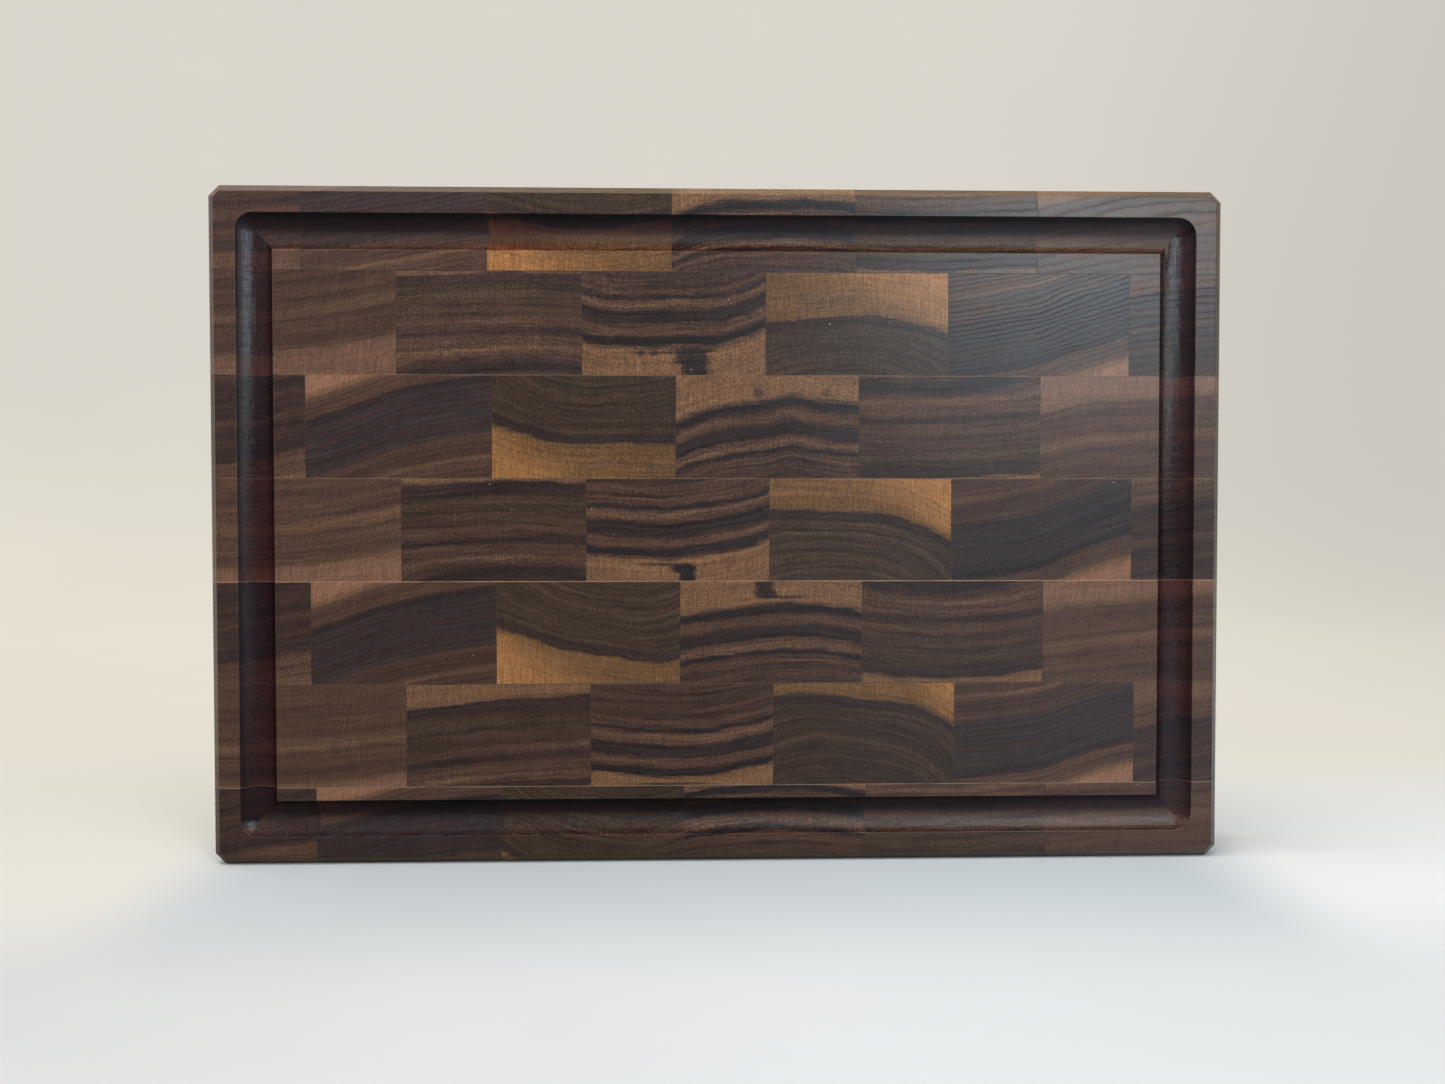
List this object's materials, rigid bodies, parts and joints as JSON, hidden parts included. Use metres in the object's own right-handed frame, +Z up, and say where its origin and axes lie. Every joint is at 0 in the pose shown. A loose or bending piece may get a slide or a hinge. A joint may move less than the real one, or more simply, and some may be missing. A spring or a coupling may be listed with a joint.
{
  "type": "end-grain cutting board",
  "caption": "Thick rectangular end-grain walnut cutting board in a brick bond, with chamfered edges, cut corners and a round-bottomed juice groove routed round its face.",
  "frame": {"origin": "Middle of the long edge that the board stands on, halfway through its thickness", "axes": "+X along the board's width, -Y out of the grooved face, +Z up the board's height as it stands on its long edge"},
  "size_m": [0.4572, 0.0382, 0.3048],
  "materials": {
    "walnut_a": "satin oil",
    "walnut_b": "satin oil",
    "walnut_c": "satin oil",
    "walnut_d": "satin oil",
    "walnut_e": "satin oil",
    "walnut_f": "satin oil",
    "glue": "cured, oiled over"
  },
  "bodies": {
    "root": {"row_1_block_1": "walnut_f", "row_1_block_2": "walnut_e", "row_1_block_3": "walnut_d", "row_1_block_4": "walnut_c", "row_1_block_5": "walnut_b", "row_1_block_6": "walnut_a", "row_2_block_1": "walnut_a", "row_2_block_2": "walnut_b", "row_2_block_3": "walnut_c", "row_2_block_4": "walnut_d", "row_2_block_5": "walnut_e", "row_2_block_6": "walnut_f", "row_3_block_1": "walnut_f", "row_3_block_2": "walnut_e", "row_3_block_3": "walnut_d", "row_3_block_4": "walnut_c", "row_3_block_5": "walnut_b", "row_3_block_6": "walnut_a", "row_4_block_1": "walnut_a", "row_4_block_2": "walnut_b", "row_4_block_3": "walnut_c", "row_4_block_4": "walnut_d", "row_4_block_5": "walnut_e", "row_4_block_6": "walnut_f", "row_5_block_1": "walnut_f", "row_5_block_2": "walnut_e", "row_5_block_3": "walnut_d", "row_5_block_4": "walnut_c", "row_5_block_5": "walnut_b", "row_5_block_6": "walnut_a", "row_6_block_1": "walnut_a", "row_6_block_2": "walnut_b", "row_6_block_3": "walnut_c", "row_6_block_4": "walnut_d", "row_6_block_5": "walnut_e", "row_6_block_6": "walnut_f", "row_7_block_1": "walnut_f", "row_7_block_2": "walnut_e", "row_7_block_3": "walnut_d", "row_7_block_4": "walnut_c", "row_7_block_5": "walnut_b", "row_7_block_6": "walnut_a", "glue_line_1": "glue", "glue_line_2": "glue", "glue_line_3": "glue", "glue_line_4": "glue", "glue_line_5": "glue", "glue_line_6": "glue"}
  },
  "joints": []
}
